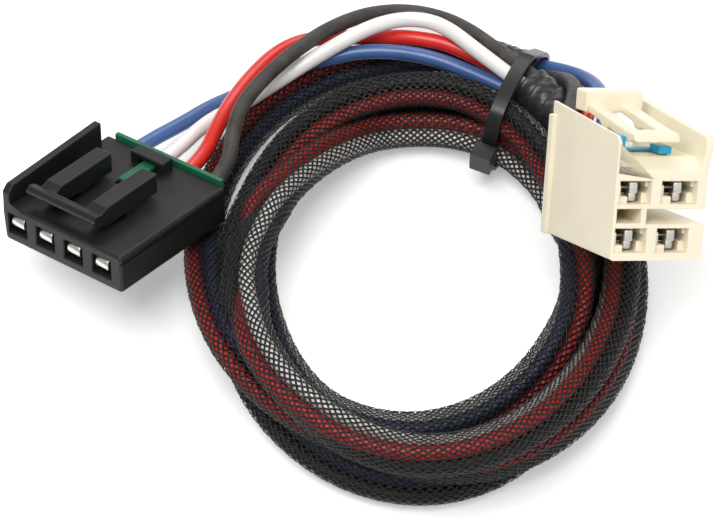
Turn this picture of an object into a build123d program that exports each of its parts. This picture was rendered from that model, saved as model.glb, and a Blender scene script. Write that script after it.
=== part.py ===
from build123d import *
import math
import os

os.makedirs("parts", exist_ok=True)

# Four-wire adapter harness: a four-way plug at each end of a braided sleeve
# that is wound into four flat turns and held by one cable tie.
# Millimetres, +Z up. The harness lies on the plane Z = 0.

# ---------------------------------------------------------------- dimensions
WIRE_D = 3.6            # insulated wire, outside
CONDUCTOR_D = 2.4       # stripped core inside a terminal
SLEEVE_R = 4.4          # half the thickness of one sleeved strand, pressed in the pile
COIL_STATIONS = 36      # radial sections of the coil's outer shape
COIL_SAMPLES = 13       # heights across each section
COIL_INSET = 0.55       # how far the coil's plain solid stays inside the sleeve

CP_W, CP_D, CP_H = 35.2, 35.0, 9.55      # controller-end plug: width, depth, height
CP_PITCH = (4.0, 12.4, 20.8, 29.2)       # its four cavities across the width
CP_CAVITY_Z = -4.7
CP_CAVITY_W, CP_CAVITY_H, CP_CAVITY_DEPTH = 5.5, 5.0, 26.0
CP_CORNER = (-93.08, 9.67, 24.35)         # its front, top, left corner
CP_X = (0.787, -0.582, 0.207)            # along the front face
CP_Z = (0.0, 0.335, 0.942)               # its top normal
CP_LOCK_TRAVEL = 3.0
CP_LATCH_ANGLE = 6.0

VP_W, VP_D, VP_H = 21.9, 33.0, 19.2      # vehicle-end plug
VP_T = VP_H + 2.6                        # its upper deck, behind the sloped front edge
VP_CORNER = (39.79, -21.72, 46.5)        # its front, bottom, left corner
VP_X = (0.925, 0.224, -0.305)
VP_Z = (0.066, 0.698, 0.714)
VP_CAVITIES = {                          # x0, x1, z0, z1 of each cavity
    "blue": (11.1, 19.6, 12.2, 17.1),
    "black": (1.0, 8.6, 12.2, 17.1),
    "red": (0.8, 8.3, 1.7, 6.9),
    "white": (10.8, 18.4, 1.7, 6.9),
}
VP_CAVITY_DEPTH = 22.0
VP_LOCK_TRAVEL = 2.5
VP_LATCH_ANGLE = 5.0    # latch, degrees to the press

TIE_ANGLE = 24.9        # where the tie crosses the coil, degrees from +Y towards +X
TIE_STRAP_W, TIE_STRAP_T = 3.6, 1.1
TAPE_D = 9.6
TAPE_L = 12.0

# The part is drawn about the coil's centre, then moved so that the origin is
# the middle of the underside of the whole harness's bounding box.
ORIGIN_SHIFT = (15.25, -10.94, 0.0)

# ------------------------------------------------------- routes, coil's frame
# Centre line of the sleeve: four turns, clockwise seen from above.
SLEEVE_ROUTE = [
    (27.0, 48.9, 15.4), (35.0, 39.9, 14.8), (41.9, 28.4, 13.2), (46.3, 8.8, 12.6), (44.7, -11.8, 13.9), (37.0, -30.9, 17.5),
    (26.1, -44.7, 20.0), (13.6, -52.5, 20.7), (0.5, -54.6, 20.4), (-12.2, -50.8, 19.7), (-23.1, -43.4, 20.3), (-32.2, -33.1, 21.0),
    (-38.5, -18.2, 19.9), (-39.0, -1.3, 19.3), (-33.7, 14.1, 19.0), (-24.5, 28.9, 14.2), (-13.2, 42.3, 6.4), (-0.8, 45.7, 4.9),
    (11.5, 43.7, 6.1), (22.9, 37.7, 6.1), (32.4, 27.0, 4.7), (38.1, 12.4, 4.4), (39.2, -4.1, 4.4), (36.1, -20.9, 4.4),
    (28.5, -36.5, 4.4), (16.3, -48.2, 4.4), (1.0, -52.7, 4.4), (-14.4, -49.3, 4.4), (-27.6, -39.6, 4.4), (-37.2, -25.6, 4.6),
    (-41.4, -10.9, 8.3), (-41.0, 4.4, 11.7), (-37.0, 20.8, 12.5), (-28.9, 36.3, 12.4), (-16.4, 47.1, 12.5), (-1.2, 51.6, 12.8),
    (14.0, 48.4, 13.9), (26.0, 36.9, 14.3), (33.6, 22.1, 12.8), (36.9, 6.4, 12.4), (35.5, -9.0, 12.1), (30.0, -21.3, 10.4),
    (22.2, -29.1, 6.1), (12.2, -35.3, 4.4), (0.7, -38.7, 4.4), (-11.2, -37.7, 4.4), (-22.6, -32.0, 4.4), (-30.7, -20.6, 4.4),
    (-35.4, -6.6, 4.4), (-37.1, 8.9, 4.4), (-34.8, 25.2, 4.4), (-27.5, 40.3, 4.4), (-15.5, 50.6, 4.4), (-0.9, 54.9, 4.9),
    (14.2, 53.5, 6.1), (28.7, 46.4, 6.1), (40.7, 33.2, 4.7), (47.6, 14.8, 4.4), (47.7, -6.0, 4.9), (41.4, -27.3, 8.4),
    (29.5, -42.9, 11.2), (15.2, -50.7, 12.4), (0.7, -51.3, 12.6), (-12.3, -46.5, 12.0), (-24.4, -40.1, 12.3), (-36.3, -30.4, 12.6),
    (-45.7, -15.8, 13.8), (-49.9, 8.0, 8.7), (-46.4, 32.4, 4.8), (-35.5, 51.2, 4.4), (-19.4, 63.0, 4.4), (-1.1, 67.6, 4.7),
    (15.6, 66.0, 6.1), (27.5, 60.6, 6.3),
]

# Bare wires from the controller-end plug to the taped start of the sleeve.
WIRE_ROUTES = {
    "blue": [(-67.4, 31.1, 11.8), (-63.4, 37.7, 9.35), (-55.4, 44.9, 7.1), (-48.9, 51.0, 5.8), (-42.6, 54.1, 6.2), (-36.3, 57.4, 7.6),
             (-29.7, 60.0, 9.5), (-22.2, 60.9, 11.4), (-13.6, 62.0, 13.2), (-5.5, 61.4, 14.1), (2.8, 60.1, 13.7), (11.0, 56.8, 13.3),
             (25.7, 47.8, 13.55)],
    "white": [(-60.9, 26.3, 13.5), (-56.8, 32.8, 11.1), (-49.5, 44.4, 8.5), (-41.6, 48.7, 9.2), (-35.5, 52.7, 10.6), (-27.3, 57.6, 13.0),
              (-18.8, 61.6, 16.2), (-10.7, 65.8, 17.8), (-3.4, 68.5, 17.5), (3.3, 68.1, 17.3), (8.4, 64.4, 18.0), (13.8, 58.8, 18.0),
              (25.7, 47.8, 17.25)],
    "red": [(-54.4, 21.5, 15.2), (-50.2, 27.9, 12.9), (-45.3, 41.9, 14.3), (-40.3, 53.1, 12.5), (-33.9, 63.6, 10.1), (-28.0, 69.3, 8.0),
            (-21.5, 71.3, 7.0), (-14.4, 69.9, 8.9), (-7.4, 67.4, 11.9), (-1.9, 65.9, 13.9), (6.2, 63.9, 14.4), (11.8, 61.2, 14.0),
            (18.2, 57.4, 13.7), (28.3, 50.1, 13.55)],
    "black": [(-48.3, 16.9, 16.8), (-43.5, 23.1, 14.7), (-42.4, 38.8, 17.5), (-37.4, 48.2, 17.9), (-29.4, 57.7, 17.7), (-21.4, 66.5, 15.7),
              (-13.0, 74.3, 11.7), (-5.7, 77.6, 9.4), (0.9, 78.1, 8.3), (7.0, 74.6, 10.2), (11.6, 69.8, 12.6), (16.1, 64.2, 14.9),
              (28.3, 50.1, 17.25)],
}

# Short leads from the taped end of the sleeve to the vehicle-end plug.
LEAD_ROUTES = {
    "blue": [(28.35, 62.2, 7.75), (35.6, 58.6, 10.2), (41.2, 51.6, 15.0), (43.2, 43.0, 19.8), (42.8, 33.4, 23.2), (40.2, 23.6, 26.2), (41.92, 15.67, 30.21)],
    "black": [(26.65, 59.0, 7.75), (32.8, 55.6, 11.4), (36.4, 49.0, 18.0), (36.2, 40.4, 23.4), (33.4, 31.4, 26.6), (30.6, 22.0, 29.6), (32.5, 13.4, 33.6)],
    "red": [(26.65, 59.0, 4.05), (33.0, 55.4, 5.8), (38.4, 49.4, 10.4), (40.0, 42.0, 15.8), (37.6, 33.4, 20.4), (32.6, 23.6, 22.3), (28.6, 12.6, 22.9)],
    "white": [(28.35, 62.2, 4.05), (36.2, 58.4, 5.6), (43.0, 51.6, 9.6), (45.6, 43.0, 14.6), (43.4, 33.4, 18.9), (39.0, 23.6, 20.7), (38.0, 13.4, 19.4)],
}


def place(x, y, z):
    return (x + ORIGIN_SHIFT[0], y + ORIGIN_SHIFT[1], z + ORIGIN_SHIFT[2])


def block(x0, x1, y0, y1, z0, z1):
    return Pos((x0 + x1) / 2, (y0 + y1) / 2, (z0 + z1) / 2) * Box(x1 - x0, y1 - y0, z1 - z0)


def bar_y(x, z, d, y0, y1):
    """Round bar along the plug's depth."""
    return Pos(x, (y0 + y1) / 2, z) * Rot(90, 0, 0) * Cylinder(d / 2, y1 - y0)


def bar_x(y, z, d, x0, x1):
    """Round bar along the plug's front face."""
    return Pos((x0 + x1) / 2, y, z) * Rot(0, 90, 0) * Cylinder(d / 2, x1 - x0)


def one(shape):
    """The single solid of a boolean result."""
    solids = shape.solids()
    return max(solids, key=lambda s: s.volume) if len(solids) > 1 else solids[0]


def round_edges(shape, picked, r):
    picked = list(picked)
    if not picked:
        return shape
    try:
        return fillet(picked, r)
    except Exception:
        print("round skipped", r)
        return shape


def local_frame(corner, x_dir, z_dir):
    return Plane(origin=place(*corner), x_dir=x_dir, z_dir=z_dir).location


CP = local_frame(CP_CORNER, CP_X, CP_Z)
VP = local_frame(VP_CORNER, VP_X, VP_Z)

parts = {}

# ------------------------------------------------- controller-end plug
body = block(0, CP_W, 0, CP_D, -CP_H, 0)
long_edges = [e for e in body.edges().filter_by(Axis.Y) if not (e.center().X < 1 and e.center().Z > -1)]
body = round_edges(body, long_edges, 1.0)
wall = extrude(
    Plane.YZ * Polygon((0, -2), (0, 3.2), (1.5, 4.7), (31.0, 6.3), (31.0, -2), align=None), 2.0, dir=(1, 0, 0)
)
body = body + wall
for cx in CP_PITCH:
    body -= block(cx - CP_CAVITY_W / 2, cx + CP_CAVITY_W / 2, -1, CP_CAVITY_DEPTH,
                  CP_CAVITY_Z - CP_CAVITY_H / 2, CP_CAVITY_Z + CP_CAVITY_H / 2)
    body -= bar_y(cx, CP_CAVITY_Z, WIRE_D + 0.6, CP_CAVITY_DEPTH - 1, CP_D + 1)
# step line along the right flank, window under the lock's tongue
body -= block(CP_W - 0.35, CP_W + 1, -1, CP_D + 1, -2.1, -1.7)
body -= block(14.1, 18.8, 21.4, 29.6, -0.7, 1)
# bridge clip over the tongue
body += block(11.3, 13.3, 30.2, 33.8, -0.5, 3.0) + block(19.1, 21.1, 30.2, 33.8, -0.5, 3.0)
body += block(11.3, 21.1, 30.2, 33.8, 1.8, 3.0)
# two low bosses that carry the latch
body += block(8.3, 12.0, 12.6, 15.4, -0.5, 0.5) + block(21.9, 25.6, 12.6, 15.4, -0.5, 0.5)
parts["controller_plug_housing"] = CP * one(body)

rails = Part()
for x0, x1 in ((7.9, 12.4), (21.5, 26.0)):
    prof = Plane.YZ * Polygon((4.0, 2.2), (4.0, 5.0), (6.5, 6.2), (23.0, 6.4), (23.0, 1.4), (16.2, 1.4),
                              (15.0, 0.8), (13.0, 0.8), (11.8, 1.4), (6.0, 1.4), align=None)
    rails += Pos(x0, 0, 0) * extrude(prof, x1 - x0, dir=(1, 0, 0))
rails += bar_x(2.0 + 1.2, 4.3, 2.3, 5.6, 26.0) + block(5.6, 26.0, 3.2, 4.6, 3.2, 5.2)
parts["controller_plug_latch"] = CP * one(rails)

lock = block(2.0, 33.9, CP_D + 0.3, CP_D + 1.5, -1.7, 1.2)
lock += block(14.7, 18.2, 22.2, CP_D + 0.4, 0.3, 1.2)
parts["controller_plug_lock_bar"] = CP * one(lock)

CP_TERMINAL_BACK = 24.0
for cx, name in zip(CP_PITCH, ("blue", "white", "red", "black")):
    t = block(cx - 2.0, cx + 2.0, 1.4, 20.0, CP_CAVITY_Z - 1.65, CP_CAVITY_Z + 1.65)
    t = round_edges(t, [e for e in t.edges().filter_by(Axis.Z) if e.center().Y < 2], 1.6)
    t += bar_y(cx, CP_CAVITY_Z, WIRE_D - 0.4, 19.5, CP_TERMINAL_BACK)
    parts["controller_terminal_" + name] = CP * one(t)

# ------------------------------------------------- vehicle-end plug
body = block(0, VP_W, 0, VP_D, 0, VP_H)
body = round_edges(body, [e for e in body.edges().filter_by(Axis.Y) if e.center().Z < 1], 0.8)
for x0, x1, z0, z1 in VP_CAVITIES.values():
    body -= block(x0, x1, -1, VP_CAVITY_DEPTH, z0, z1)
    body -= bar_y((x0 + x1) / 2, (z0 + z1) / 2, WIRE_D + 0.6, VP_CAVITY_DEPTH - 1, VP_D + 1)
# keying slot between the rows: a pocket at the left, open through the right flank
body -= block(0.9, 6.6, -1, 18.0, 8.1, 11.1)
body -= block(8.0, VP_W + 1, -1, 26.0, 7.9, 11.1)
# upper deck with a sloped front edge
body += extrude(
    Plane.YZ * Polygon((0.0, VP_H - 1), (0.0, VP_H), (5.0, VP_T), (VP_D, VP_T), (VP_D, VP_H - 1), align=None), VP_W, dir=(1, 0, 0))
# guide walls on top, rising to the rear; the right one leans outwards
body += extrude(
    Plane.YZ * Polygon((0.0, VP_H - 1), (0.0, VP_H + 5.9), (1.5, VP_H + 7.4), (VP_D, VP_H + 10.2), (VP_D, VP_H - 1), align=None), 1.7,
    dir=(1, 0, 0))
leaning = extrude(
    Plane.XZ * Polygon((VP_W - 1.7, VP_H - 1), (VP_W, VP_H - 1), (VP_W + 1.5, VP_H + 10.5), (VP_W - 0.2, VP_H + 10.5), align=None), VP_D,
    dir=(0, 1, 0))
leaning -= extrude(
    Plane.YZ * Polygon((-1.0, VP_H + 12.0), (-1.0, VP_H + 5.0), (0.0, VP_H + 6.0), (1.5, VP_H + 7.5), (VP_D + 1, VP_H + 10.6),
                       (VP_D + 1, VP_H + 12.0), align=None), VP_W + 8, dir=(1, 0, 0))
body += leaning
# rear flange
body += block(-0.9, 0.5, VP_D - 2.2, VP_D, 0, VP_H + 7.4)
body += block(VP_W - 0.5, VP_W + 0.9, VP_D - 2.2, VP_D, 0, VP_H + 2.0)
# bosses that carry the latch
body += block(4.7, 7.5, 15.6, 18.4, VP_T - 0.5, VP_T + 3.6) + block(12.5, 15.5, 15.6, 18.4, VP_T - 0.5, VP_T + 3.6)
parts["vehicle_plug_housing"] = VP * one(body)

arms = Part()
for x0, x1 in ((4.6, 7.6), (12.4, 15.6)):
    prof = Plane.YZ * Polygon((1.6, VP_T + 3.4), (2.6, VP_T + 5.2), (8.0, VP_T + 5.6), (25.0, VP_T + 8.2), (31.0, VP_T + 8.2), (31.0, VP_T + 6.2),
                              (25.0, VP_T + 6.2), (19.4, VP_T + 5.2), (18.0, VP_T + 3.9), (16.0, VP_T + 3.9), (14.6, VP_T + 4.3),
                              (6.0, VP_T + 2.9), align=None)
    arms += Pos(x0, 0, 0) * extrude(prof, x1 - x0, dir=(1, 0, 0))
arms += Pos(4.6, 0, 0) * extrude(
    Plane.YZ * Polygon((1.6, VP_T + 3.4), (2.6, VP_T + 5.2), (6.4, VP_T + 5.4), (6.4, VP_T + 2.9), align=None), 11.0, dir=(1, 0, 0))
arms += block(4.0, 18.0, 25.0, 30.5, VP_T + 6.2, VP_T + 11.0)
parts["vehicle_plug_latch"] = VP * one(arms)

lock = block(2.4, 17.8, 9.0, 12.6, VP_T + 0.3, VP_T + 1.3)
lock += block(2.2, 4.3, 5.6, 10.0, VP_T + 0.3, VP_T + 4.2) + block(12.4, 15.4, 5.4, 10.0, VP_T + 0.3, VP_T + 2.0)
parts["vehicle_plug_lock"] = VP * one(lock)

VP_TERMINAL_BACK = 23.6
for name, (x0, x1, z0, z1) in VP_CAVITIES.items():
    cx, cz = (x0 + x1) / 2, (z0 + z1) / 2
    t = block(cx - 1.1, cx + 1.3, 1.5, 20.0, cz - 2.1, cz + 2.1)
    t = round_edges(t, [e for e in t.edges().filter_by(Axis.X) if e.center().Y < 2], 0.9)
    t += bar_y(cx, cz, WIRE_D - 0.4, 19.5, VP_TERMINAL_BACK)
    parts["vehicle_terminal_" + name] = VP * one(t)


# ------------------------------------------------- wires and leads
def tube(points, d, label):
    pts = [Vector(*p) for p in points]
    runs = [(b - a).length for a, b in zip(pts, pts[1:])]
    radii = []
    for a, b, c, r0, r1 in zip(pts, pts[1:], pts[2:], runs, runs[1:]):
        turn = (b - a).get_angle(c - b)
        radii.append(0.45 * min(r0, r1) / math.tan(math.radians(turn) / 2))
    radii = [min(r, 400.0) for r in radii]
    path = FilletPolyline(*pts, radius=radii)
    section = Plane(origin=path @ 0, z_dir=path % 0) * Circle(d / 2)
    solid = sweep(section, path=path)
    area = math.pi * d * d / 4
    print(f"{label}: length {path.length:.1f}, smallest radius {min(radii):.1f}, "
          f"volume/(area*length) {solid.volume / (area * path.length):.4f}")
    return one(solid), path.length


def in_world(frame, p):
    v = (frame * Pos(*p)).position
    return (v.X, v.Y, v.Z)


lengths = {}
for cx, name in zip(CP_PITCH, ("blue", "white", "red", "black")):
    start = in_world(CP, (cx, CP_TERMINAL_BACK, CP_CAVITY_Z))
    pts = [start] + [place(*p) for p in WIRE_ROUTES[name][1:]]
    parts["wire_" + name], lengths[name] = tube(pts, WIRE_D, "wire_" + name)

for name, (x0, x1, z0, z1) in VP_CAVITIES.items():
    cx, cz = (x0 + x1) / 2, (z0 + z1) / 2
    end = in_world(VP, (cx, VP_TERMINAL_BACK, cz))
    mouth = in_world(VP, (cx, VP_D + 2.0, cz))
    pts = [place(*p) for p in LEAD_ROUTES[name][:-1]] + [mouth, end]
    parts["vehicle_lead_" + name], _ = tube(pts, WIRE_D, "vehicle_lead_" + name)


# ------------------------------------------------- sleeve coil
def route_samples(points, n=8):
    """Points along the quadratic spline that the route's points control."""
    out = []
    for i in range(1, len(points) - 1):
        a, b, c = points[i - 1], points[i], points[i + 1]
        for k in range(n):
            t = k / n
            w = (0.5 * (1 - t) ** 2, 0.5 + t - t * t, 0.5 * t * t)
            out.append(tuple(w[0] * a[j] + w[1] * b[j] + w[2] * c[j] for j in range(3)))
    return out


samples = route_samples(SLEEVE_ROUTE)
length = sum(math.dist(a, b) for a, b in zip(samples, samples[1:]))
print(f"sleeve centre line about {length:.0f}")


def polar(p):
    return math.hypot(p[0], p[1]), math.degrees(math.atan2(p[0], p[1])) % 360.0


R = SLEEVE_R - COIL_INSET
first_clear = next(i for i, s in enumerate(samples) if s[1] < 26.0)   # past the taped start
last_clear = len(samples) - 12                                       # short of the taped end


def section_at(angle, half=4.0):
    found = []
    for i, s in enumerate(samples):
        if i < first_clear or i > last_clear:
            continue
        rho, phi = polar(s)
        gap = abs((phi - angle + 180) % 360 - 180)
        if gap <= half:
            found.append((rho, s[2]))
    return found


def height(found, rho):
    top = 1.6
    for r0, z0 in found:
        d = abs(rho - r0)
        if d < R:
            top = max(top, z0 + math.sqrt(R * R - d * d))
    return top


stations = []
for k in range(COIL_STATIONS):
    angle = 360.0 * k / COIL_STATIONS
    found = section_at(angle)
    inner = min(r for r, z in found) - R
    outer = max(r for r, z in found) + R
    near_tie = abs((angle - TIE_ANGLE + 180) % 360 - 180) < 12
    base = 2.2 if near_tie else 0.0
    ring = [(inner, base), (outer, base)]
    for j in range(COIL_SAMPLES):
        rho = outer + (inner - outer) * j / (COIL_SAMPLES - 1)
        z = height(found, rho)
        if j in (0, COIL_SAMPLES - 1):
            edge = outer - 0.8 if j == 0 else inner + 0.8
            z = min(height(found, edge), 5.0)
        ring.append((rho, max(z, base + 1.2)))
    a = math.radians(angle)
    stations.append([place(r * math.sin(a), r * math.cos(a), z) for r, z in ring])

faces = []
n = len(stations[0])
for k in range(COIL_STATIONS):
    s0, s1 = stations[k], stations[(k + 1) % COIL_STATIONS]
    for j in range(n):
        a, b = s0[j], s0[(j + 1) % n]
        c, d = s1[(j + 1) % n], s1[j]
        for tri in ((a, b, c), (a, c, d)):
            faces.append(Face(Wire.make_polygon([Vector(*p) for p in tri], close=True)))
parts["sleeve_coil"] = Solid(Shell(faces))
if parts["sleeve_coil"].volume < 0:
    parts["sleeve_coil"] = Solid(Shell([-f for f in faces]))
print("coil volume", parts["sleeve_coil"].volume, "valid", parts["sleeve_coil"].is_valid)


# ------------------------------------------------- tape wraps
def tape(p, direction, name):
    d = Vector(*direction).normalized()
    z = Plane(origin=place(*p), z_dir=d)
    t = z * (Pos(0, 0, TAPE_L / 2) * Cylinder(TAPE_D / 2, TAPE_L))
    parts[name] = one(round_edges(t, t.edges().filter_by(GeomType.CIRCLE), 0.4))


def unit(a, b):
    return (b[0] - a[0], b[1] - a[1], b[2] - a[2])


tape(SLEEVE_ROUTE[0], unit(SLEEVE_ROUTE[0], SLEEVE_ROUTE[1]), "tape_wrap_controller_end")
tape(SLEEVE_ROUTE[-1], unit(SLEEVE_ROUTE[-1], SLEEVE_ROUTE[-2]), "tape_wrap_vehicle_end")

# ------------------------------------------------- cable tie
a = math.radians(TIE_ANGLE)
radial = (math.sin(a), math.cos(a), 0.0)
tie_plane = Plane(origin=place(0, 0, 0), x_dir=radial, z_dir=(math.cos(a), -math.sin(a), 0.0))
if tie_plane.y_dir.Z < 0:
    tie_plane = Plane(origin=place(0, 0, 0), x_dir=radial, z_dir=(-math.cos(a), math.sin(a), 0.0))


def crossings(points, angle):
    out = []
    for p, q in zip(points, points[1:]):
        pr, pp = polar(p)
        qr, qp = polar(q)
        da, db = pp - angle, qp - angle
        if abs(da) < 20 and abs(db) < 20 and da * db <= 0:
            t = abs(da) / max(abs(da) + abs(db), 1e-9)
            out.append((pr + t * (qr - pr), p[2] + t * (q[2] - p[2])))
    return out


held = [(r, z, SLEEVE_R + 0.35) for r, z in crossings(samples, TIE_ANGLE)]
held.append((*polar(SLEEVE_ROUTE[-1])[:1], SLEEVE_ROUTE[-1][2], TAPE_D / 2))
for name in WIRE_ROUTES:
    held += [(r, z, WIRE_D / 2 + 0.5) for r, z in crossings(WIRE_ROUTES[name], TIE_ANGLE)]
print("held by the tie:", [(round(r, 1), round(z, 1), round(c, 1)) for r, z, c in held])

# outline of everything the strap goes round, sampled as a convex polygon
dirs = [math.radians(d) for d in range(0, 360, 15)]
support = []
for d in dirs:
    cx, cy = math.cos(d), math.sin(d)
    support.append(max(r * cx + z * cy + c for r, z, c in held))


def outline(extra):
    pts = []
    for i in range(len(dirs)):
        d0, d1 = dirs[i], dirs[(i + 1) % len(dirs)]
        s0, s1 = support[i] + extra, support[(i + 1) % len(dirs)] + extra
        det = math.cos(d0) * math.sin(d1) - math.sin(d0) * math.cos(d1)
        x = (s0 * math.sin(d1) - s1 * math.sin(d0)) / det
        y = (s1 * math.cos(d0) - s0 * math.cos(d1)) / det
        if not pts or math.dist(pts[-1], (x, y)) > 0.05:
            pts.append((x, y))
    if math.dist(pts[0], pts[-1]) <= 0.05:
        pts.pop()
    return pts


def band(extra, width):
    face = make_face(Polyline(*outline(extra), close=True))
    return Pos(0, 0, -width / 2) * extrude(face, width)


strap = band(0.15 + TIE_STRAP_T, TIE_STRAP_W) - band(0.15, TIE_STRAP_W + 2)
top = max(outline(0.15 + TIE_STRAP_T), key=lambda p: p[1])
inner_side = min(outline(0.15 + TIE_STRAP_T), key=lambda p: p[0])
TIE_HEAD = (5.6, 4.4, 5.2)
head = Pos(inner_side[0] - TIE_HEAD[1] / 2 + 0.6, inner_side[1] + 3.0, 0) * Box(TIE_HEAD[1], TIE_HEAD[0], TIE_HEAD[2])
strap += head
parts["cable_tie"] = tie_plane.location * one(strap)

# ------------------------------------------------- write
low = [1e9] * 3
high = [-1e9] * 3
for name, shape in parts.items():
    solid = one(shape) if len(shape.solids()) else shape
    b = solid.bounding_box()
    low = [min(low[0], b.min.X), min(low[1], b.min.Y), min(low[2], b.min.Z)]
    high = [max(high[0], b.max.X), max(high[1], b.max.Y), max(high[2], b.max.Z)]
    export_step(solid, "parts/" + name + ".step")
print("nodes", len(parts))
print("box", [round(v, 2) for v in low], [round(v, 2) for v in high])
print("size", [round(h - l, 2) for l, h in zip(low, high)])
for label, frame, p in (
    ("controller face", CP, (16.6, 0, -CP_H / 2)), ("controller latch pivot", CP, (CP_W / 2, 14.0, 0.8)),
    ("vehicle face web", VP, (9.85, 0, 14.6)), ("vehicle latch pivot", VP, (VP_W / 2, 17.0, VP_T + 3.9)),
):
    print(label, [round(v, 3) for v in in_world(frame, p)])
print("underside", [round(v, 3) for v in place(0.7, -45.0, 0.0)])
print("axes cp", CP.x_axis.direction, CP.y_axis.direction, CP.z_axis.direction)
print("axes vp", VP.x_axis.direction, VP.y_axis.direction, VP.z_axis.direction)
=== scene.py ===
import math

import bmesh
import bpy
import numpy as np
from mathutils import Matrix, Vector

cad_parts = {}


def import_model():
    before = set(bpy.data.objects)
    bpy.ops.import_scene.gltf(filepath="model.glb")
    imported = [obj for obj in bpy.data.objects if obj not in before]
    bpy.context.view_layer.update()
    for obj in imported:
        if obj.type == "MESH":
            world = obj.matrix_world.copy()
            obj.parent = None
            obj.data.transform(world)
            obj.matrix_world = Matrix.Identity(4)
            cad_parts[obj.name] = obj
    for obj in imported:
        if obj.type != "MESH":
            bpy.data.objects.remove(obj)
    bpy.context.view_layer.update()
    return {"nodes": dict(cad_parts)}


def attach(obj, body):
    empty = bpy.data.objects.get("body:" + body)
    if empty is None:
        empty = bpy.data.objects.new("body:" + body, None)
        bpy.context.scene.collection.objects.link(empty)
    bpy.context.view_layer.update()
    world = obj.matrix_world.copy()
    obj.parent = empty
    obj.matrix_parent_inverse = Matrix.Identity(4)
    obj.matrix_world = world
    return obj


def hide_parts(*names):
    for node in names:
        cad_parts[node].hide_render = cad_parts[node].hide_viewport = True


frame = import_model()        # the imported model, metres

MM = 0.001
SHIFT = np.array((15.25, -10.94, 0.0))        # coil frame to model frame, mm

# ------------------------------------------------------------------ camera
ELEV = math.radians(55.0)
TARGET = (np.array((-13.2, 5.5, 8.0)) + SHIFT) * MM
DIST = 0.700
cam_data = bpy.data.cameras.new("camera")
cam_data.lens = 154.0
cam_data.sensor_width = 36.0
cam_data.clip_start = 0.01
cam_data.dof.use_dof = False
cam = bpy.data.objects.new("camera", cam_data)
bpy.context.scene.collection.objects.link(cam)
look = np.array((0.0, math.cos(ELEV), -math.sin(ELEV)))
cam.location = Vector(TARGET - DIST * look)
cam.rotation_euler = (math.pi / 2 - ELEV, 0.0, 0.0)
bpy.context.scene.camera = cam

# ------------------------------------------------------------------ routes
SLEEVE_ROUTE = [
    (27.0, 48.9, 15.4), (35.0, 39.9, 14.8), (41.9, 28.4, 13.2), (46.3, 8.8, 12.6), (44.7, -11.8, 13.9), (37.0, -30.9, 17.5),
    (26.1, -44.7, 20.0), (13.6, -52.5, 20.7), (0.5, -54.6, 20.4), (-12.2, -50.8, 19.7), (-23.1, -43.4, 20.3), (-32.2, -33.1, 21.0),
    (-38.5, -18.2, 19.9), (-39.0, -1.3, 19.3), (-33.7, 14.1, 19.0), (-24.5, 28.9, 14.2), (-13.2, 42.3, 6.4), (-0.8, 45.7, 4.9),
    (11.5, 43.7, 6.1), (22.9, 37.7, 6.1), (32.4, 27.0, 4.7), (38.1, 12.4, 4.4), (39.2, -4.1, 4.4), (36.1, -20.9, 4.4),
    (28.5, -36.5, 4.4), (16.3, -48.2, 4.4), (1.0, -52.7, 4.4), (-14.4, -49.3, 4.4), (-27.6, -39.6, 4.4), (-37.2, -25.6, 4.6),
    (-41.4, -10.9, 8.3), (-41.0, 4.4, 11.7), (-37.0, 20.8, 12.5), (-28.9, 36.3, 12.4), (-16.4, 47.1, 12.5), (-1.2, 51.6, 12.8),
    (14.0, 48.4, 13.9), (26.0, 36.9, 14.3), (33.6, 22.1, 12.8), (36.9, 6.4, 12.4), (35.5, -9.0, 12.1), (30.0, -21.3, 10.4),
    (22.2, -29.1, 6.1), (12.2, -35.3, 4.4), (0.7, -38.7, 4.4), (-11.2, -37.7, 4.4), (-22.6, -32.0, 4.4), (-30.7, -20.6, 4.4),
    (-35.4, -6.6, 4.4), (-37.1, 8.9, 4.4), (-34.8, 25.2, 4.4), (-27.5, 40.3, 4.4), (-15.5, 50.6, 4.4), (-0.9, 54.9, 4.9),
    (14.2, 53.5, 6.1), (28.7, 46.4, 6.1), (40.7, 33.2, 4.7), (47.6, 14.8, 4.4), (47.7, -6.0, 4.9), (41.4, -27.3, 8.4),
    (29.5, -42.9, 11.2), (15.2, -50.7, 12.4), (0.7, -51.3, 12.6), (-12.3, -46.5, 12.0), (-24.4, -40.1, 12.3), (-36.3, -30.4, 12.6),
    (-45.7, -15.8, 13.8), (-49.9, 8.0, 8.7), (-46.4, 32.4, 4.8), (-35.5, 51.2, 4.4), (-19.4, 63.0, 4.4), (-1.1, 67.6, 4.7),
    (15.6, 66.0, 6.1), (27.5, 60.6, 6.3),
]
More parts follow.
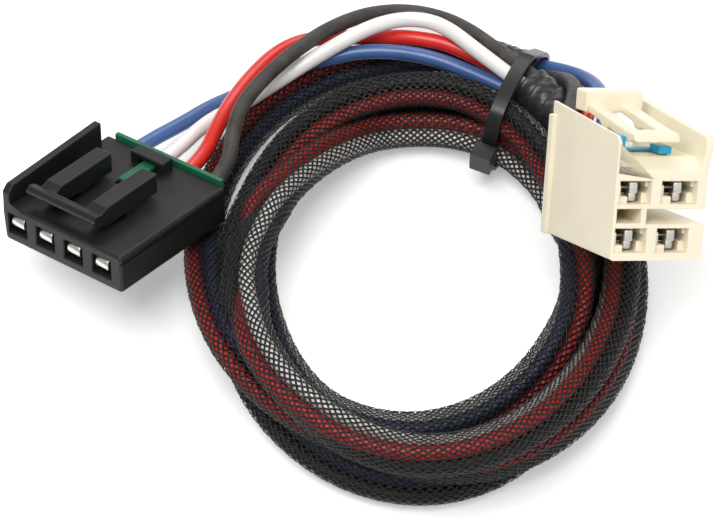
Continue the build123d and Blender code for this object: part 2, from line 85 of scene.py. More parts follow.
WIRE_ROUTES = {
    "blue": [(-63.4, 37.7, 9.35), (-55.4, 44.9, 7.1), (-48.9, 51.0, 5.8), (-42.6, 54.1, 6.2), (-36.3, 57.4, 7.6),
             (-29.7, 60.0, 9.5), (-22.2, 60.9, 11.4), (-13.6, 62.0, 13.2), (-5.5, 61.4, 14.1), (2.8, 60.1, 13.7), (11.0, 56.8, 13.3),
             (25.7, 47.8, 13.55)],
    "white": [(-56.8, 32.8, 11.1), (-49.5, 44.4, 8.5), (-41.6, 48.7, 9.2), (-35.5, 52.7, 10.6), (-27.3, 57.6, 13.0),
              (-18.8, 61.6, 16.2), (-10.7, 65.8, 17.8), (-3.4, 68.5, 17.5), (3.3, 68.1, 17.3), (8.4, 64.4, 18.0), (13.8, 58.8, 18.0),
              (25.7, 47.8, 17.25)],
    "red": [(-50.2, 27.9, 12.9), (-45.3, 41.9, 14.3), (-40.3, 53.1, 12.5), (-33.9, 63.6, 10.1), (-28.0, 69.3, 8.0),
            (-21.5, 71.3, 7.0), (-14.4, 69.9, 8.9), (-7.4, 67.4, 11.9), (-1.9, 65.9, 13.9), (6.2, 63.9, 14.4), (11.8, 61.2, 14.0),
            (18.2, 57.4, 13.7), (28.3, 50.1, 13.55)],
    "black": [(-43.5, 23.1, 14.7), (-42.4, 38.8, 17.5), (-37.4, 48.2, 17.9), (-29.4, 57.7, 17.7), (-21.4, 66.5, 15.7),
              (-13.0, 74.3, 11.7), (-5.7, 77.6, 9.4), (0.9, 78.1, 8.3), (7.0, 74.6, 10.2), (11.6, 69.8, 12.6), (16.1, 64.2, 14.9),
              (28.3, 50.1, 17.25)],
}
LEAD_ROUTES = {
    "blue": [(28.35, 62.2, 7.75), (35.6, 58.6, 10.2), (41.2, 51.6, 15.0), (43.2, 43.0, 19.8), (42.8, 33.4, 23.2), (40.2, 23.6, 26.2)],
    "black": [(26.65, 59.0, 7.75), (32.8, 55.6, 11.4), (36.4, 49.0, 18.0), (36.2, 40.4, 23.4), (33.4, 31.4, 26.6), (30.6, 22.0, 29.6)],
    "red": [(26.65, 59.0, 4.05), (33.0, 55.4, 5.8), (38.4, 49.4, 10.4), (40.0, 42.0, 15.8), (37.6, 33.4, 20.4), (32.6, 23.6, 22.3)],
    "white": [(28.35, 62.2, 4.05), (36.2, 58.4, 5.6), (43.0, 51.6, 9.6), (45.6, 43.0, 14.6), (43.4, 33.4, 18.9), (39.0, 23.6, 20.7)],
}
WIRE_D = 3.6
COLOURS = ("blue", "white", "red", "black")


def unit(v):
    v = np.asarray(v, float)
    return v / np.linalg.norm(v)


def plug_frame(corner, x_dir, z_dir):
    """Matrix from a plug's own frame (mm) to the model frame (mm)."""
    z = unit(z_dir)
    x = np.asarray(x_dir, float)
    x = unit(x - (x @ z) * z)
    y = np.cross(z, x)
    m = np.eye(4)
    m[:3, 0], m[:3, 1], m[:3, 2] = x, y, z
    m[:3, 3] = np.asarray(corner) + SHIFT
    return m


CP = plug_frame((-93.08, 9.67, 24.35), (0.787, -0.582, 0.207), (0.0, 0.335, 0.942))
VP = plug_frame((39.79, -21.72, 46.5), (0.925, 0.224, -0.305), (0.066, 0.698, 0.714))
CP_W, CP_D, CP_H = 35.2, 35.0, 9.55
CP_PITCH = dict(zip(COLOURS, (4.0, 12.4, 20.8, 29.2)))
CP_CAVITY_Z = -4.7
VP_W, VP_D, VP_H, VP_T = 21.9, 33.0, 19.2, 21.8
VP_CAVITIES = {"blue": (11.1, 19.6, 12.2, 17.1), "black": (1.0, 8.6, 12.2, 17.1),
               "red": (0.8, 8.3, 1.7, 6.9), "white": (10.8, 18.4, 1.7, 6.9)}


def at(m, x, y, z):
    return (m @ np.array((x, y, z, 1.0)))[:3]


def world(p):
    return np.asarray(p, float) + SHIFT


# ------------------------------------------------------------- object tools
def link(obj):
    bpy.context.scene.collection.objects.link(obj)
    return obj


def nurbs(name, pts_mm, d_mm, sides=6, res=8):
    """A curve of one open NURBS spline through its control points, in metres."""
    c = bpy.data.curves.new(name, "CURVE")
    c.dimensions = "3D"
    c.resolution_u = res
    c.bevel_depth = d_mm / 2 * MM
    c.bevel_resolution = sides
    c.use_fill_caps = True
    s = c.splines.new("NURBS")
    s.points.add(len(pts_mm) - 1)
    for sp, p in zip(s.points, pts_mm):
        sp.co = (p[0] * MM, p[1] * MM, p[2] * MM, 1.0)
    s.order_u = 3
    s.use_endpoint_u = True
    return link(bpy.data.objects.new(name, c))


def line_points(pts_mm, res=12):
    """Points along the bare NURBS line, mm."""
    o = nurbs("line_tmp", pts_mm, 0.0, res=res)
    o.data.bevel_depth = 0.0
    me = bpy.data.meshes.new_from_object(o)
    p = np.array([v.co[:] for v in me.vertices]) / MM
    bpy.data.objects.remove(o)
    bpy.data.meshes.remove(me)
    return p


def mesh_object(name, verts_mm, faces, smooth=True):
    me = bpy.data.meshes.new(name)
    me.from_pydata([tuple(v) for v in (np.asarray(verts_mm) * MM)], [], faces)
    me.update()
    if smooth:
        me.polygons.foreach_set("use_smooth", [True] * len(me.polygons))
    return link(bpy.data.objects.new(name, me))


def grid_faces(rings, sides, close_ring=True, base=0):
    r = np.arange(rings - 1)[:, None]
    s = np.arange(sides if close_ring else sides - 1)[None]
    a = base + r * sides + s
    b = base + r * sides + (s + 1) % sides
    return np.stack([a, b, b + sides, a + sides], axis=-1).reshape(-1, 4)


# ---------------------------------------------------------------- materials
def material(name):
    m = bpy.data.materials.new(name)
    m.use_nodes = True
    nt = m.node_tree
    return m, nt, nt.nodes["Principled BSDF"]


def node(nt, kind, **inputs):
    n = nt.nodes.new(kind)
    for k, v in inputs.items():
        n.inputs[k.replace("_", " ")].default_value = v
    return n


def plastic(name, colour, dark=0.82, light=1.12, rough=(0.35, 0.5), grain=900.0, bump=0.05, coat=0.0, spec=0.5, mottle=60.0,
            bump_dist=0.0001):
    """Moulded or extruded plastic: soft mottling, uneven gloss and fine grain."""
    m, nt, p = material(name)
    co = node(nt, "ShaderNodeTexCoord")
    mot = node(nt, "ShaderNodeTexNoise", Scale=mottle, Detail=5.0, Roughness=0.6)
    nt.links.new(co.outputs["Object"], mot.inputs["Vector"])
    ramp = nt.nodes.new("ShaderNodeValToRGB")
    ramp.color_ramp.elements[0].position = 0.3
    ramp.color_ramp.elements[1].position = 0.7
    ramp.color_ramp.elements[0].color = [min(1, c * dark) for c in colour] + [1]
    ramp.color_ramp.elements[1].color = [min(1, c * light) for c in colour] + [1]
    nt.links.new(mot.outputs["Fac"], ramp.inputs["Fac"])
    nt.links.new(ramp.outputs["Color"], p.inputs["Base Color"])
    gr = node(nt, "ShaderNodeTexNoise", Scale=grain, Detail=3.0, Roughness=0.6)
    nt.links.new(co.outputs["Object"], gr.inputs["Vector"])
    mr = node(nt, "ShaderNodeMapRange")
    mr.inputs["From Min"].default_value = 0.3
    mr.inputs["From Max"].default_value = 0.7
    mr.inputs["To Min"].default_value = rough[0]
    mr.inputs["To Max"].default_value = rough[1]
    nt.links.new(gr.outputs["Fac"], mr.inputs["Value"])
    nt.links.new(mr.outputs["Result"], p.inputs["Roughness"])
    b = node(nt, "ShaderNodeBump", Strength=bump, Distance=bump_dist)
    nt.links.new(gr.outputs["Fac"], b.inputs["Height"])
    nt.links.new(b.outputs["Normal"], p.inputs["Normal"])
    p.inputs["Specular IOR Level"].default_value = spec
    p.inputs["Coat Weight"].default_value = coat
    p.inputs["Coat Roughness"].default_value = 0.2
    return m


def metal(name, colour, rough=(0.18, 0.42)):
    """Tin-plated stamped metal with fine drawn scratches."""
    m, nt, p = material(name)
    co = node(nt, "ShaderNodeTexCoord")
    mp = node(nt, "ShaderNodeMapping")
    mp.inputs["Scale"].default_value = (400.0, 60.0, 400.0)
    nt.links.new(co.outputs["Object"], mp.inputs["Vector"])
    n = node(nt, "ShaderNodeTexNoise", Scale=8.0, Detail=6.0, Roughness=0.65)
    nt.links.new(mp.outputs["Vector"], n.inputs["Vector"])
    mr = node(nt, "ShaderNodeMapRange")
    mr.inputs["To Min"].default_value = rough[0]
    mr.inputs["To Max"].default_value = rough[1]
    nt.links.new(n.outputs["Fac"], mr.inputs["Value"])
    nt.links.new(mr.outputs["Result"], p.inputs["Roughness"])
    ramp = nt.nodes.new("ShaderNodeValToRGB")
    ramp.color_ramp.elements[0].color = [c * 0.8 for c in colour] + [1]
    ramp.color_ramp.elements[1].color = list(colour) + [1]
    nt.links.new(n.outputs["Fac"], ramp.inputs["Fac"])
    nt.links.new(ramp.outputs["Color"], p.inputs["Base Color"])
    p.inputs["Metallic"].default_value = 1.0
    b = node(nt, "ShaderNodeBump", Strength=0.08, Distance=0.0001)
    nt.links.new(n.outputs["Fac"], b.inputs["Height"])
    nt.links.new(b.outputs["Normal"], p.inputs["Normal"])
    return m


INSULATION = {
    "blue": plastic("insulation_blue", (0.055, 0.125, 0.33), rough=(0.26, 0.38), grain=1400, bump=0.03, coat=0.25),
    "white": plastic("insulation_white", (0.86, 0.84, 0.82), dark=0.95, light=1.05, rough=(0.28, 0.4), grain=1400, bump=0.03, coat=0.25),
    "red": plastic("insulation_red", (0.72, 0.022, 0.014), dark=0.9, rough=(0.26, 0.38), grain=1400, bump=0.03, coat=0.25),
    "black": plastic("insulation_black", (0.045, 0.040, 0.036), dark=0.7, light=1.5, rough=(0.42, 0.62), grain=1100, bump=0.12, mottle=240.0),
}
# Darker copies of the insulation colours for the wires inside the braid: painted shade from the sleeve over them. The
# insulation itself is the same as on the bare wires.
SHADED_INSULATION = {
    "blue": plastic("insulation_blue_painted_shade", (0.016, 0.031, 0.088), rough=(0.45, 0.6), grain=1400, bump=0.03),
    "white": plastic("insulation_white_painted_shade", (0.80, 0.765, 0.73), dark=0.92, light=1.05, rough=(0.4, 0.55), grain=1400, bump=0.03),
    "red": plastic("insulation_red_painted_shade", (0.50, 0.017, 0.012), dark=0.85, rough=(0.4, 0.55), grain=1400, bump=0.03),
    "black": plastic("insulation_black_painted_shade", (0.012, 0.011, 0.010), rough=(0.5, 0.65), grain=1100, bump=0.1, mottle=240.0),
}
M_BRAID = plastic("braid_monofilament", (0.010, 0.010, 0.010), rough=(0.26, 0.40), grain=2500, bump=0.04, spec=0.42)
M_BLACK = plastic("black_plug_plastic", (0.0115, 0.0108, 0.0100), rough=(0.36, 0.52), grain=2600, bump=0.22, mottle=90.0, dark=0.75, light=1.3, spec=0.38)
M_LATCH = plastic("black_latch_plastic", (0.012, 0.0115, 0.0105), rough=(0.28, 0.42), grain=2600, bump=0.12, mottle=90.0, dark=0.8, light=1.25, spec=0.42)
M_GREEN = plastic("green_lock_plastic", (0.008, 0.135, 0.060), rough=(0.32, 0.45), grain=1800, bump=0.08)
M_IVORY = plastic("ivory_plug_plastic", (0.90, 0.82, 0.635), dark=0.96, light=1.04, rough=(0.32, 0.44), grain=1600, bump=0.06, mottle=70.0)
M_CYAN = plastic("blue_lock_plastic", (0.01, 0.40, 0.66), rough=(0.25, 0.38), grain=1600, bump=0.05)
M_TAPE = plastic("vinyl_tape", (0.022, 0.022, 0.024), rough=(0.28, 0.42), grain=700, bump=0.15, mottle=200.0)
M_TIE = plastic("tie_nylon", (0.010, 0.010, 0.011), rough=(0.3, 0.42), grain=1500, bump=0.06)
M_TIN = metal("tin_plate", (0.86, 0.84, 0.80))


def paint(obj, mat):
    obj.data.materials.clear()
    obj.data.materials.append(mat)
    return obj


# -------------------------------------------------------- the bare wires
for c in COLOURS:
    start = at(CP, CP_PITCH[c], 24.0, CP_CAVITY_Z)
    pts = [start] + [world(p) for p in WIRE_ROUTES[c]]
    w = paint(nurbs("bare_wire_" + c, pts, WIRE_D, sides=8, res=10), INSULATION[c])
    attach(w, "root")
    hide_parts("wire_" + c)

for c in COLOURS:
    x0, x1, z0, z1 = VP_CAVITIES[c]
    cx, cz = (x0 + x1) / 2, (z0 + z1) / 2
    pts = [world(p) for p in LEAD_ROUTES[c]] + [at(VP, cx, VP_D + 2.0, cz), at(VP, cx, 23.6, cz)]
    w = paint(nurbs("lead_" + c, pts, WIRE_D, sides=8, res=10), INSULATION[c])
    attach(w, "root")
    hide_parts("vehicle_lead_" + c)

# ------------------------------------------------ the sleeved bundle
trunk = line_points([world(p) for p in SLEEVE_ROUTE])
seg = np.linalg.norm(np.diff(trunk, axis=0), axis=1)
run = np.concatenate([[0.0], np.cumsum(seg)])
TOTAL = run[-1]
CELL = 0.5                                     # half a crossing's spacing, mm
ST = np.arange(0.0, TOTAL, CELL)


def along(s):
    return np.stack([np.interp(s, run, trunk[:, k]) for k in range(3)], axis=1)


def smooth(a, n):
    k = np.ones(n) / n
    pad = np.pad(a, ((n // 2, n // 2), (0, 0)), mode="edge")
    return np.stack([np.convolve(pad[:, i], k, "valid") for i in range(a.shape[1])], axis=1)


def frames(s):
    """Tangent, outward and upward directions of the trunk at arc lengths s."""
    t = along(np.minimum(s + 0.75, TOTAL)) - along(np.maximum(s - 0.75, 0.0))
    t = smooth(t, 7)
    t /= np.linalg.norm(t, axis=1)[:, None]
    z = np.array((0.0, 0.0, 1.0))
    v = z - (t @ z)[:, None] * t
    v /= np.linalg.norm(v, axis=1)[:, None]
    u = np.cross(v, t)
    return t, u, v


P0 = along(ST)
T0, U0, V0 = frames(ST)
rel = P0 - SHIFT
theta = np.degrees(np.unwrap(np.arctan2(rel[:, 0], rel[:, 1])))   # clockwise from +Y, over all turns

# Angle of the black wire in the bundle, from outward towards up, as it is seen
# in the pile, against the winding angle.
ROLL = [(20, 40), (60, 40), (90, 42), (120, 35), (150, 25), (180, 20), (210, -32), (240, -60), (270, -80), (300, -65), (330, -50), (360, -48),
        (390, -45), (440, 0), (480, 30), (590, 30), (690, 35), (730, 40), (765, 80), (800, 0), (830, -60), (870, -75), (900, -75),
        (970, -50), (1000, -45), (1110, 0), (1200, -12), (1260, -14), (1310, -42), (1350, -58), (1420, -58), (1470, -20)]
roll = np.interp(theta, [k for k, _ in ROLL], [v for _, v in ROLL])
roll = smooth(roll[:, None], 61)[:, 0] + 35.0 * np.cos(np.radians(theta))
# Places in the bundle, in order round it, and where two neighbours change places.
ORDER0 = ["black", "red", "white", "blue"]
SWAPS = [(250, 0, 1), (286, 0, 1), (425, 2, 3), (455, 1, 2), (640, 1, 2)]
RHO = WIRE_D / math.sqrt(2.0)
slots = np.stack([np.stack([np.cos(np.radians(roll + 90.0 * k)), np.sin(np.radians(roll + 90.0 * k))], axis=1) for k in range(4)]) * RHO
pos2 = {c: slots[k].copy() for k, c in enumerate(ORDER0)}
order = list(ORDER0)
for th, a, b in SWAPS:
    w = np.clip((theta - th + 16.0) / 32.0, 0.0, 1.0)
    w = w * w * (3 - 2 * w)
    mid = (slots[a] + slots[b]) / 2
    ang = math.pi * w
    ca, cb = order[a], order[b]
    after = theta > th - 16.0
    for c, s in ((ca, slots[a]), (cb, slots[b])):
        d = s - mid
        r = np.stack([d[:, 0] * np.cos(ang) - d[:, 1] * np.sin(ang), d[:, 0] * np.sin(ang) + d[:, 1] * np.cos(ang)], axis=1)
        pos2[c] = np.where(after[:, None], mid + r, pos2[c])
    order[a], order[b] = cb, ca
names4 = list(ORDER0)
for _ in range(30):                            # keep the four wires a diameter apart
    for i in range(4):
        for j in range(i + 1, 4):
            d = pos2[names4[i]] - pos2[names4[j]]
            L = np.linalg.norm(d, axis=1)
            push = np.clip(WIRE_D + 0.02 - L, 0.0, None) / 2
            n = d / np.maximum(L, 1e-6)[:, None]
            pos2[names4[i]] = pos2[names4[i]] + n * push[:, None]
            pos2[names4[j]] = pos2[names4[j]] - n * push[:, None]
for c in names4:
    pos2[c] = smooth(pos2[c], 21)


def bundle_wire(c, step=3, sides=14):
    idx = np.arange(0, len(ST), step)
    off = pos2[c][idx]
    centre = P0[idx] + off[:, :1] * U0[idx] + off[:, 1:] * V0[idx]
    a = np.linspace(0, 2 * math.pi, sides, endpoint=False)
    ring = centre[:, None] + WIRE_D / 2 * (np.cos(a)[None, :, None] * U0[idx][:, None] + np.sin(a)[None, :, None] * V0[idx][:, None])
    verts = ring.reshape(-1, 3)
    verts[:, 2] = np.maximum(verts[:, 2], 0.08)
    faces = grid_faces(len(idx), sides).tolist()
    faces.append(list(range(sides))[::-1])
    faces.append([len(verts) - sides + k for k in range(sides)])
    return mesh_object("sleeved_wire_" + c, verts, faces), centre


# outline of the braid round the four wires, by arc length round the outline
DIRS = 40
phi = np.linspace(0, 2 * math.pi, DIRS, endpoint=False)
N2 = np.stack([np.cos(phi), np.sin(phi)], axis=1)
CLEAR = 0.30
cloud = np.stack([pos2[c] for c in names4], axis=1)            # stations, 4, 2
proj = cloud @ N2.T                                            # stations, 4, dirs
pick = proj.argmax(axis=1)                                     # stations, dirs
hull = np.take_along_axis(cloud, pick[:, :, None], axis=1) + (WIRE_D / 2 + CLEAR) * N2[None]
edge = np.linalg.norm(np.roll(hull, -1, axis=1) - hull, axis=2)
cum = np.concatenate([np.zeros((len(ST), 1)), np.cumsum(edge, axis=1)], axis=1)
hull_c = np.concatenate([hull, hull[:, :1]], axis=1)
PER = cum[:, -1]
# where the outline crosses the outward direction, so that the weave runs on evenly
turned = np.unwrap(np.arctan2(hull_c[:, :, 1], hull_c[:, :, 0]), axis=1)
goal = np.where(turned[:, 0] <= 0.0, 0.0, 2 * math.pi)
k0 = np.clip((turned <= goal[:, None]).sum(axis=1) - 1, 0, DIRS - 1)
rows = np.arange(len(ST))
part = np.clip((goal - turned[rows, k0]) / np.maximum(turned[rows, k0 + 1] - turned[rows, k0], 1e-9), 0.0, 1.0)
ORIGIN = cum[rows, k0] + part * edge[rows, k0]


def on_hull(q, extra):
    """Model-frame points at fraction q of the outline, at every station."""
    want = ((q + ORIGIN / PER) % 1.0) * PER
    k = (cum <= want[:, None]).sum(axis=1) - 1
    k = np.clip(k, 0, DIRS - 1)
    r = np.arange(len(ST))
    f = (want - cum[r, k]) / np.maximum(edge[r, k], 1e-9)
    p = hull_c[r, k] + (hull_c[r, k + 1] - hull_c[r, k]) * f[:, None]
    n = N2[k] * (1 - f)[:, None] + N2[(k + 1) % DIRS] * f[:, None]
    n /= np.linalg.norm(n, axis=1)[:, None]
    p = p + n * extra[:, None]
    out = P0 + p[:, :1] * U0 + p[:, 1:] * V0
    nrm = n[:, :1] * U0 + n[:, 1:] * V0
    return out, nrm


CARRIERS = 20
PITCH = 40.0                                   # one turn of a filament, mm
FIL_W, FIL_T = 0.45, 0.22                      # flattened monofilament
WAVE = 0.13


def filament_line(k, sign, lo, hi):
    q = sign * ST / PITCH + k / CARRIERS
    i = np.arange(len(ST))
    cross = np.cos(math.pi * (i / 2.0) + (0.0 if sign > 0 else math.pi) + math.pi * k)
    pts, nrm = on_hull(q, WAVE * cross)
    return pts[lo:hi], nrm[lo:hi]


def braid_piece(name, lo, hi):
    vs, fs = [], []
    base = 0
    for sign in (1, -1):
        for k in range(CARRIERS):
            p, n = filament_line(k, sign, lo, hi)
            t = np.gradient(p, axis=0)
            t /= np.linalg.norm(t, axis=1)[:, None]
            b = np.cross(t, n)
            b /= np.linalg.norm(b, axis=1)[:, None]
            ring = np.stack([p + b * FIL_W / 2, p + n * FIL_T / 2, p - b * FIL_W / 2], axis=1)
            vs.append(ring.reshape(-1, 3))
            fs.append(grid_faces(len(p), 3, base=base))
            base += len(p) * 3
    vs = np.concatenate(vs)
    vs[:, 2] = np.maximum(vs[:, 2], 0.02)              # pressed flat where it lies
    return mesh_object(name, vs, np.concatenate(fs).tolist())


for c in COLOURS:
    w, centre = bundle_wire(c)
    # The wires inside the braid take the darker copies of their colours: painted shade.
    paint(w, SHADED_INSULATION[c])
    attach(w, "root")

n = len(ST)
cuts = [0, n // 3, 2 * n // 3, n]
for i in range(3):
    b = paint(braid_piece("braid_%d" % (i + 1), cuts[i], min(cuts[i + 1] + 1, n)), M_BRAID)
    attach(b, "root")
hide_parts("sleeve_coil")

# ------------------------------------------- moulded and stamped pieces
NODES = frame["nodes"]


def even_normals(o):
    """Large flat faces keep their own normal, and the rounded edges blend into them."""
    mod = o.modifiers.new("even_normals", "WEIGHTED_NORMAL")
    mod.keep_sharp = True
    mod.weight = 60


def rounded_copy(name, source, body, mat, r_mm=0.25, cut_deg=24.0, segments=2, local=None, edit=None, outer=None, outer_r=0.9):
    """A copy of a CAD piece with its sharp edges rounded and its curved faces smooth."""
    src = NODES[source]
    me = src.data.copy()
    me.transform(src.matrix_world)
    bm = bmesh.new()
    bm.from_mesh(me)
    bmesh.ops.remove_doubles(bm, verts=bm.verts, dist=0.000004)
    bmesh.ops.dissolve_limit(bm, angle_limit=math.radians(0.8), verts=bm.verts, edges=bm.edges, delimit=set())
    bmesh.ops.recalc_face_normals(bm, faces=bm.faces)
    if edit is not None:
        inv = np.linalg.inv(local)
        for v in bm.verts:
            q = (inv @ np.array((v.co.x / MM, v.co.y / MM, v.co.z / MM, 1.0)))[:3]
            v.co = Vector(at(local, *edit(*q)) * MM)

    if outer is not None:
        inv = np.linalg.inv(local)
        spots = [(inv @ np.array((v.co.x / MM, v.co.y / MM, v.co.z / MM, 1.0)))[:3] for v in bm.verts]
        bm.verts.index_update()
        picked = [e for e in bm.edges if e.is_manifold and e.is_convex and e.calc_face_angle(0.0) > math.radians(cut_deg)
                  and outer(spots[e.verts[0].index], spots[e.verts[1].index])]
        bmesh.ops.bevel(bm, geom=picked, offset=outer_r * MM, offset_type="OFFSET", segments=4, profile=0.5,
                        affect="EDGES", clamp_overlap=False, loop_slide=True)

    def wide(f):
        return f.calc_area() / max(e.calc_length() for e in f.edges) > 2.3 * r_mm * MM

    sharp = [e for e in bm.edges if e.is_manifold and e.is_convex and e.calc_face_angle(0.0) > math.radians(cut_deg)
             and all(wide(f) for f in e.link_faces) and e.calc_length() > 2.2 * r_mm * MM]
    bmesh.ops.bevel(bm, geom=sharp, offset=r_mm * MM, offset_type="OFFSET", segments=segments, profile=0.5,
                    affect="EDGES", clamp_overlap=False, loop_slide=True)
    bmesh.ops.triangulate(bm, faces=[f for f in bm.faces if len(f.verts) > 4])
    for f in bm.faces:
        f.smooth = True
    for e in bm.edges:
        if e.is_manifold and e.calc_face_angle(0.0) > math.radians(38.0):
            e.smooth = False
    bm.to_mesh(me)
    bm.free()
    me.update()
    o = paint(link(bpy.data.objects.new(name, me)), mat)
    even_normals(o)
    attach(o, body)
    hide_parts(source)
    return o


def thin_wall(x, y, z):
    """The left guide wall is thin at its mouth."""
    return (0.8, y, z) if abs(x - 1.7) < 0.06 and z > VP_H - 0.1 else (x, y, z)


def box_mesh(name, m, blocks, mat, body, r_mm=0.2, segments=2, replaces=None):
    """One piece of rounded blocks given in a plug's own frame, each (x0, x1, y0, y1, z0, z1)."""
    bm = bmesh.new()
    for x0, x1, y0, y1, z0, z1 in blocks:
        mat4 = Matrix.Translation(((x0 + x1) / 2, (y0 + y1) / 2, (z0 + z1) / 2)) @ Matrix.Diagonal((x1 - x0, y1 - y0, z1 - z0, 1.0))
        made = bmesh.ops.create_cube(bm, size=1.0, matrix=mat4)
        edges = list({e for v in made["verts"] for e in v.link_edges})
        bmesh.ops.bevel(bm, geom=edges, offset=min(r_mm, 0.3 * min(x1 - x0, y1 - y0, z1 - z0)), offset_type="OFFSET", segments=segments,
                        profile=0.5, affect="EDGES", clamp_overlap=True)
    for f in bm.faces:
        f.smooth = True
    for e in bm.edges:
        if e.is_manifold and e.calc_face_angle(0.0) > math.radians(38.0):
            e.smooth = False
    me = bpy.data.meshes.new(name)
    bm.to_mesh(me)
    bm.free()
    me.transform(Matrix([[*(m[r, :3] * MM), m[r, 3] * MM] for r in range(3)] + [[0, 0, 0, 1]]))
    me.update()
    o = paint(link(bpy.data.objects.new(name, me)), mat)
    even_normals(o)
    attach(o, body)
    if replaces:
        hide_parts(replaces)
    return o


def rolled_contact(name, cx, source):
    """A terminal whose end is rolled over about the plug's width, in the black plug."""
    prof = []
    h, z0, front = 1.62, CP_CAVITY_Z + 0.1, 0.45
    for k in range(13):
        t = math.pi * k / 12
        prof.append((front + 1.5 - 1.5 * math.sin(t), z0 + h * math.cos(t)))
    prof += [(20.0, z0 - h), (20.0, z0 + h)]
    xs = (cx - 2.2, cx - 2.1, cx - 1.95, cx + 1.25, cx + 1.4, cx + 1.5)
    inset = (0.22, 0.06, 0.0, 0.0, 0.06, 0.22)
    vs = []
    for x, d in zip(xs, inset):
        for y, z in prof:
            f = (h - d) / h
            vs.append(at(CP, x, y + d, z0 + (z - z0) * f))
    n = len(prof)
    faces = grid_faces(len(xs), n).tolist()
    faces.append(list(range(n))[::-1])
    faces.append([(len(xs) - 1) * n + k for k in range(n)])
    o = mesh_object(name, vs, faces)
    for e in o.data.edges:
        a, b = (o.data.vertices[i].index % n for i in e.vertices)
        e.use_edge_sharp = a == b and a in (13, 14)
    paint(o, M_TIN)
    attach(o, "root")
    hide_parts(source)
    return o


def front_rim(a, b):
    """The outer edges of the black plug's front face."""
    return (max(a[1], b[1]) < 0.05 and (min(a[0], b[0]) > CP_W - 1.05 or max(a[2], b[2]) < -CP_H + 1.05
                                        or (min(a[2], b[2]) > -0.05 and min(a[0], b[0]) > 1.9 and max(a[2], b[2]) < 0.05)))


rounded_copy("black_plug_housing", "controller_plug_housing", "root", M_BLACK, 0.32, segments=3, local=CP, outer=front_rim,
             outer_r=0.75)
rounded_copy("black_plug_latch", "controller_plug_latch", "controller_latch", M_LATCH, 0.35, segments=3)
rounded_copy("black_plug_lock", "controller_plug_lock_bar", "controller_lock", M_GREEN, 0.2)
rounded_copy("ivory_plug_housing", "vehicle_plug_housing", "root", M_IVORY, 0.38, segments=3, local=VP, edit=thin_wall)
rounded_copy("ivory_plug_latch", "vehicle_plug_latch", "vehicle_latch", M_IVORY, 0.55, segments=3)
box_mesh("blue_plug_lock", VP, [(2.2, 4.35, 5.6, 10.1, VP_T + 0.3, VP_T + 4.1), (12.4, 15.4, 5.4, 10.1, VP_T + 0.3, VP_T + 2.0),
                                (2.4, 17.8, 9.8, 12.6, VP_T + 0.3, VP_T + 0.8)], M_CYAN, "vehicle_lock", 0.25, replaces="vehicle_plug_lock")
# Dull brownish metal for the contact cages beside each tab: painted shade in the dark right side of each ivory plug
# cavity.
M_SHADE = metal("contact_metal_painted_shade", (0.30, 0.25, 0.19), rough=(0.3, 0.5))
for c in COLOURS:
    rolled_contact("black_plug_contact_" + c, CP_PITCH[c], "controller_terminal_" + c)
    x0, x1, z0, z1 = VP_CAVITIES[c]
    cx, cz, w3 = (x0 + x1) / 2, (z0 + z1) / 2, x1 - x0
    box_mesh("ivory_plug_contact_" + c, VP, [(cx - 0.95, cx + 1.05, 1.3, 20.0, cz - 0.35, cz + 2.05), (cx - 0.75, cx + 0.9, 1.9, 20.0, cz - 2.1, cz - 0.2),
                                             (cx - 0.6, cx + 0.7, 19.5, 23.0, cz - 0.9, cz + 0.9)],
             M_TIN, "root", 0.28, segments=3, replaces="vehicle_terminal_" + c)
    # The cage walls and fingers are dark beside the bright tab as painted shade inside the cavity.
    box_mesh("ivory_plug_contact_cage_" + c, VP, [(x0 + 0.9, cx - 0.9, 2.6, 14.0, cz + 0.55, cz + 0.95), (x0 + 1.5, cx - 0.9, 3.2, 14.0, cz - 0.9, cz - 0.5),
                                                  (cx + 1.2, cx + 1.6, 2.8, 14.0, z0 + 0.5, z1 - 0.4)],
             M_SHADE, "root", 0.1)
    box_mesh("ivory_plug_ledge_" + c, VP, [(x0 - 0.1, x0 + 0.31 * w3, 0.7, 12.0, z0 - 0.1, z0 + 1.55), (x0 - 0.1, x0 + 0.12 * w3, 1.2, 12.0, z0 + 1.2, z1 - 1.0),
                                           (x1 - 0.16 * w3, x1 + 0.1, 2.4, 12.0, z0 - 0.1, z0 + 2.1), (x1 - 0.1 * w3, x1 + 0.1, 1.8, 12.0, z1 - 1.5, z1 + 0.1)],
             M_IVORY, "root", 0.25, segments=2)
rounded_copy("tie", "cable_tie", "root", M_TIE, 0.28, cut_deg=40.0)


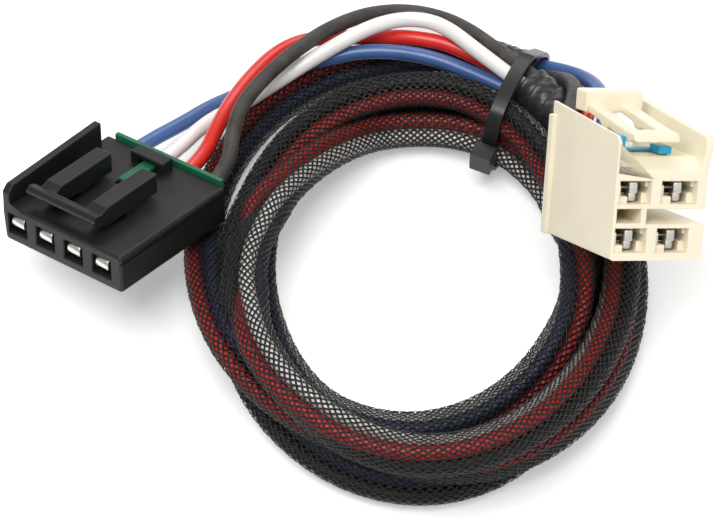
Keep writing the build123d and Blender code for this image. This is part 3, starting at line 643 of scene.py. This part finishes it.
def wound_tape(name, source, p, q, length=13.4, d=10.7, lap=4.2):
    """Tape wound in a spiral with overlapping, slightly uneven edges."""
    a = unit(np.asarray(q, float) - np.asarray(p, float))
    o = world(p)
    side = unit(np.cross(a, (0.0, 0.0, 1.0)))
    up = np.cross(side, a)
    rings, sides = 96, 56
    vs = []
    for i in range(rings + 1):
        y = length * i / rings
        f = min(1.0, y / 0.5, (length - y) / 0.5)
        for k in range(sides):
            t = 2 * math.pi * k / sides
            turn = (y / lap + t / (2 * math.pi)) % 1.0
            step = 0.26 * (1.0 - turn) if turn > 0.06 else 0.26 * turn / 0.06
            r = d / 2 - 0.34 + step + 0.10 * math.sin(3 * t + 1.7 * y) + 0.06 * math.sin(7 * t - 2.3 * y) - 0.35 * (1.0 - max(f, 0.0)) ** 2
            vs.append(o + a * (y - 1.2) + r * (math.cos(t) * side + math.sin(t) * up))
    faces = grid_faces(rings + 1, sides).tolist()
    faces.append(list(range(sides))[::-1])
    faces.append([rings * sides + k for k in range(sides)])
    w = paint(mesh_object(name, vs, faces), M_TAPE)
    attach(w, "root")
    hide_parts(source)
    return w


wound_tape("tape_controller_end", "tape_wrap_controller_end", SLEEVE_ROUTE[0], SLEEVE_ROUTE[1])
wound_tape("tape_vehicle_end", "tape_wrap_vehicle_end", SLEEVE_ROUTE[-1], SLEEVE_ROUTE[-2])

# ------------------------------------------------------------- lights, floor
fb = bpy.data.meshes.new("floor")
fb.from_pydata([(-3, -3, 0), (3, -3, 0), (3, 3, 0), (-3, 3, 0)], [], [(0, 1, 2, 3)])
floor = link(bpy.data.objects.new("floor", fb))
m, nt, p = material("floor_paper")
p.inputs["Base Color"].default_value = (0.92, 0.92, 0.92, 1)
p.inputs["Roughness"].default_value = 0.9
p.inputs["Specular IOR Level"].default_value = 0.1
p.inputs["Emission Color"].default_value = (1, 1, 1, 1)
p.inputs["Emission Strength"].default_value = 0.30
paint(floor, m)

w = bpy.data.worlds.new("studio")
bpy.context.scene.world = w
w.use_nodes = True
w.node_tree.nodes["Background"].inputs["Color"].default_value = (1, 1, 1, 1)
w.node_tree.nodes["Background"].inputs["Strength"].default_value = 0.40


def area(name, loc, size, energy):
    d = bpy.data.lights.new(name, "AREA")
    d.shape = "RECTANGLE"
    d.size, d.size_y = size
    d.energy = energy
    o = link(bpy.data.objects.new(name, d))
    o.location = loc
    o.rotation_euler = (Vector((0, 0, 0.01)) - Vector(loc)).to_track_quat("-Z", "Y").to_euler()
    return o


area("key", (-0.16, -0.18, 0.82), (0.50, 0.50), 5.0)
area("fill", (0.6, -0.45, 0.55), (0.6, 0.4), 1.2)
area("back", (0.1, 0.7, 0.55), (0.8, 0.3), 2.2)

bpy.context.scene.view_settings.view_transform = "Standard"

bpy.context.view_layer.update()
